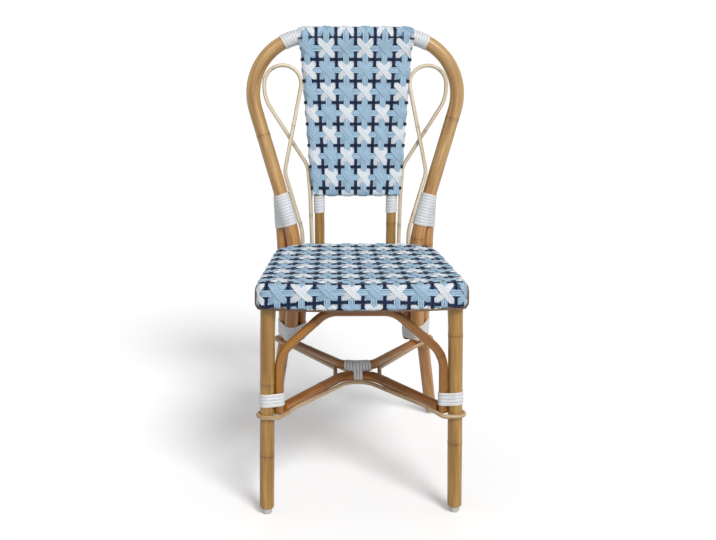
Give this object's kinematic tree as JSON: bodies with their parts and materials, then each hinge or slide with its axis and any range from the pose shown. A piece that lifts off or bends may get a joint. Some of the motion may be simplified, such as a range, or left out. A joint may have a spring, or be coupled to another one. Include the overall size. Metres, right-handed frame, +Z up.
{
  "type": "rattan bistro chair",
  "caption": "Armless bistro chair with a bent-pole frame, a woven seat, a woven back panel in a hoop, looped side canes and wound bindings at the joints.",
  "frame": {"origin": "on the floor, in the middle of the chair's footprint", "axes": "the chair faces -Y, +X is on the right as seen from the front, +Z is up"},
  "size_m": [0.4634, 0.6062, 0.8999],
  "materials": {
    "rattan": "lacquered, satin",
    "cane": "lacquered, satin",
    "binding": "satin",
    "weave": "satin, woven in light blue, navy and white",
    "plastic": "satin",
    "steel": "plain"
  },
  "bodies": {
    "root": {"back_hoop": "rattan", "front_leg_left": "rattan", "rear_leg_left": "rattan", "foot_glide_front_left": "plastic", "glide_nail_front_left": "steel", "foot_glide_rear_left": "plastic", "glide_nail_rear_left": "steel", "hoop_nail_left": "steel", "front_leg_right": "rattan", "rear_leg_right": "rattan", "foot_glide_front_right": "plastic", "glide_nail_front_right": "steel", "foot_glide_rear_right": "plastic", "glide_nail_rear_right": "steel", "hoop_nail_right": "steel", "front_arch": "rattan", "rear_arch": "rattan", "front_stretcher_bow": "rattan", "rear_stretcher_bow": "rattan", "stretcher_nail": "steel", "stretcher_cane_left": "cane", "stretcher_cane_right": "cane", "stretcher_cane_front": "cane", "stretcher_cane_rear": "cane", "seat_weave": "weave", "seat_front_rail_upper": "rattan", "seat_rear_rail_upper": "rattan", "seat_front_rail_lower": "rattan", "seat_rear_rail_lower": "rattan", "seat_trim_cane": "cane", "seat_bearer_left": "rattan", "seat_bearer_right": "rattan", "back_upright_left": "rattan", "back_upright_right": "rattan", "back_rail": "rattan", "back_panel_weave": "weave", "ribbon_cane_left": "cane", "ribbon_cane_right": "cane", "binding_hoop_top_left": "binding", "binding_back_leg_left": "binding", "binding_upright_left": "binding", "binding_front_leg_left": "binding", "binding_rear_leg_left": "binding", "binding_hoop_top_right": "binding", "binding_back_leg_right": "binding", "binding_upright_right": "binding", "binding_front_leg_right": "binding", "binding_rear_leg_right": "binding", "binding_stretcher": "binding"}
  },
  "joints": []
}
